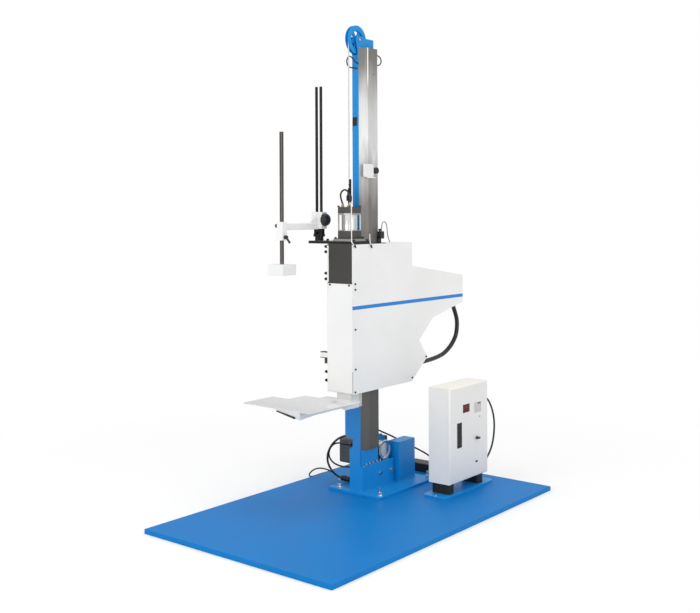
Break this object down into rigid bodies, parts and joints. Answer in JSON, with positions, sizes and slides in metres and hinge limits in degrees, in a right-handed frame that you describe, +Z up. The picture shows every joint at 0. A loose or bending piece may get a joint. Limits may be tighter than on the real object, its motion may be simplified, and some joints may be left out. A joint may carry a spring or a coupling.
{
  "type": "package drop tester",
  "caption": "Floor-standing package drop tester: a winch lifts a carriage with a swing-away drop table on a column; hold-down arm and control box.",
  "frame": {"origin": "under the middle of the floor plate, on the floor", "axes": "+Z up, +X to the right, +Y to the back; the drop table is in front, at -Y"},
  "size_m": [1.0402, 1.7566, 2.168],
  "materials": {
    "blue_paint": "satin paint",
    "white_paint": "fine-textured powder coat",
    "dark_paint": "matt paint",
    "black_steel": "blackened, satin",
    "bright_steel": "bright plating",
    "brushed_steel": "brushed",
    "leaf_steel": "gloss lacquer",
    "grey_iron": "painted casting",
    "aluminium": "machined and anodised",
    "brass": "turned",
    "black_rubber": "matt",
    "beige_rubber": "matt",
    "black_plastic": "matt",
    "white_plastic": "matt",
    "grey_plastic": "matt",
    "red_plastic": "gloss"
  },
  "bodies": {
    "frame": {"base_plate": "blue_paint", "foot_weldment": "blue_paint", "frame_fasteners": "bright_steel", "column_tube": "blue_paint", "guide_profile": "brushed_steel", "head_bracket": "blue_paint", "winch_gearbox": "grey_iron", "winch_motor": "grey_iron", "winch_cover": "blue_paint", "rope_rear": "bright_steel", "rope_front": "bright_steel", "box_plate": "blue_paint", "box_feet": "black_rubber", "box_body": "white_paint", "box_lid": "white_paint", "panel_inserts": "grey_plastic", "junction_box": "black_plastic", "post_cable": "black_rubber", "motor_cable": "black_rubber", "supply_cable": "black_rubber", "supply_coil": "black_rubber", "cable_connector": "black_plastic", "column_cable": "black_rubber", "controller_cable": "black_rubber", "head_cable": "black_rubber"},
    "carriage": {"carriage_frame": "dark_paint", "deck_plate": "brushed_steel", "right_cover": "white_paint", "left_cover": "white_paint", "front_cover": "white_paint", "rear_cover": "white_paint", "carriage_fasteners": "black_steel", "release_cylinder": "aluminium", "rope_socket": "brass", "air_hose": "black_rubber", "limit_switch": "black_plastic", "sensor_cable": "grey_plastic", "stop_buffer": "black_rubber", "conduit": "black_rubber"},
    "sheave": {"head_sheave": "blue_paint"},
    "pulley": {"return_pulley": "black_steel"},
    "drum": {"winch_drum": "bright_steel"},
    "front_roller_low": {"roller_front_lower": "black_steel"},
    "front_roller_high": {"roller_front_upper": "black_steel"},
    "rear_roller_low": {"roller_rear_lower": "black_steel"},
    "rear_roller_high": {"roller_rear_upper": "black_steel"},
    "swing": {"swing_arm": "white_paint", "table_top": "leaf_steel", "table_buffers": "beige_rubber"},
    "piston_rod": {"cylinder_rod": "bright_steel"},
    "mast": {"mast": "black_steel"},
    "boom": {"boom": "white_paint"},
    "boom_grip": {"boom_knob": "black_plastic"},
    "bar_lever": {"clamp_lever": "black_plastic"},
    "pad": {"pad_bar": "brushed_steel", "hold_pad": "white_plastic"},
    "limit_stop": {"limit_block": "white_plastic"},
    "limit_grip": {"limit_knob": "black_plastic"},
    "rocker": {"rocker_switch": "red_plastic"},
    "selector": {"selector_knob": "black_plastic"}
  },
  "joints": [
    {"name": "carriage_lift", "type": "slide", "parent": "frame", "child": "carriage", "axis": [0, 0, 1], "range_m": [0, 0.55], "deforming": ["rope_front"]},
    {"name": "sheave_turn", "type": "hinge", "parent": "frame", "child": "sheave", "pos_m": [-0.146, 0.155, 2.102], "axis": [1, 0, 0], "range_deg": [-606.1, 0]},
    {"name": "pulley_turn", "type": "hinge", "parent": "frame", "child": "pulley", "pos_m": [-0.146, 0.237, 0.182], "axis": [1, 0, 0], "range_deg": [0, 1050.5]},
    {"name": "drum_turn", "type": "hinge", "parent": "frame", "child": "drum", "pos_m": [-0.146, 0.33, 0.19], "axis": [1, 0, 0], "range_deg": [0, 829.4]},
    {"name": "front_roller_low_turn", "type": "hinge", "parent": "carriage", "child": "front_roller_low", "pos_m": [-0.146, 0.1346, 0.64], "axis": [1, 0, 0], "range_deg": [-1969.6, 0]},
    {"name": "front_roller_high_turn", "type": "hinge", "parent": "carriage", "child": "front_roller_high", "pos_m": [-0.146, 0.1346, 1.11], "axis": [1, 0, 0], "range_deg": [-1969.6, 0]},
    {"name": "rear_roller_low_turn", "type": "hinge", "parent": "carriage", "child": "rear_roller_low", "pos_m": [-0.146, 0.2794, 0.7], "axis": [1, 0, 0], "range_deg": [0, 1969.6]},
    {"name": "rear_roller_high_turn", "type": "hinge", "parent": "carriage", "child": "rear_roller_high", "pos_m": [-0.146, 0.2794, 1.11], "axis": [1, 0, 0], "range_deg": [0, 1969.6]},
    {"name": "table_swing", "type": "hinge", "parent": "carriage", "child": "swing", "pos_m": [-0.14, 0.88, 0.915], "axis": [1, 0, 0], "range_deg": [0, 9]},
    {"name": "piston_stroke", "type": "slide", "parent": "carriage", "child": "piston_rod", "axis": [0, 0, -1], "range_m": [0, 0.056]},
    {"name": "mast_turn", "type": "hinge", "parent": "carriage", "child": "mast", "pos_m": [-0.294, 0.065, 1.181], "axis": [0, 0, 1], "range_deg": [-90, 45]},
    {"name": "boom_height", "type": "slide", "parent": "mast", "child": "boom", "axis": [0, 0, 1], "range_m": [0, 0.55]},
    {"name": "boom_knob_turn", "type": "hinge", "parent": "boom", "child": "boom_grip", "pos_m": [-0.25, 0.065, 1.277], "axis": [1, 0, 0], "range_deg": [-180, 180]},
    {"name": "clamp_lever_turn", "type": "hinge", "parent": "boom", "child": "bar_lever", "pos_m": [-0.27, -0.189, 1.202], "axis": [1, 0, 0], "range_deg": [-75, 75]},
    {"name": "pad_height", "type": "slide", "parent": "boom", "child": "pad", "axis": [0, 0, 1], "range_m": [-0.38, 0.09]},
    {"name": "limit_height", "type": "slide", "parent": "frame", "child": "limit_stop", "axis": [0, 0, 1], "range_m": [0, 0.45]},
    {"name": "limit_knob_turn", "type": "hinge", "parent": "limit_stop", "child": "limit_grip", "pos_m": [-0.0966, 0.234, 1.503], "axis": [1, 0, 0], "range_deg": [-180, 180]},
    {"name": "rocker_tip", "type": "hinge", "parent": "frame", "child": "rocker", "pos_m": [0.238, 0.4775, 0.405], "axis": [0, 1, 0], "range_deg": [-8, 8]},
    {"name": "selector_turn", "type": "hinge", "parent": "frame", "child": "selector", "pos_m": [0.24, 0.567, 0.254], "axis": [1, 0, 0], "range_deg": [0, 90]}
  ],
  "couplings": [
    {"joint": "sheave_turn", "follows": "carriage_lift", "rad_per_m": -19.231},
    {"joint": "pulley_turn", "follows": "carriage_lift", "rad_per_m": 33.333},
    {"joint": "drum_turn", "follows": "carriage_lift", "rad_per_m": 26.316},
    {"joint": "front_roller_low_turn", "follows": "carriage_lift", "rad_per_m": -62.5},
    {"joint": "front_roller_high_turn", "follows": "carriage_lift", "rad_per_m": -62.5},
    {"joint": "rear_roller_low_turn", "follows": "carriage_lift", "rad_per_m": 62.5},
    {"joint": "rear_roller_high_turn", "follows": "carriage_lift", "rad_per_m": 62.5},
    {"joint": "piston_stroke", "follows": "table_swing", "m_per_rad": 0.3501}
  ]
}
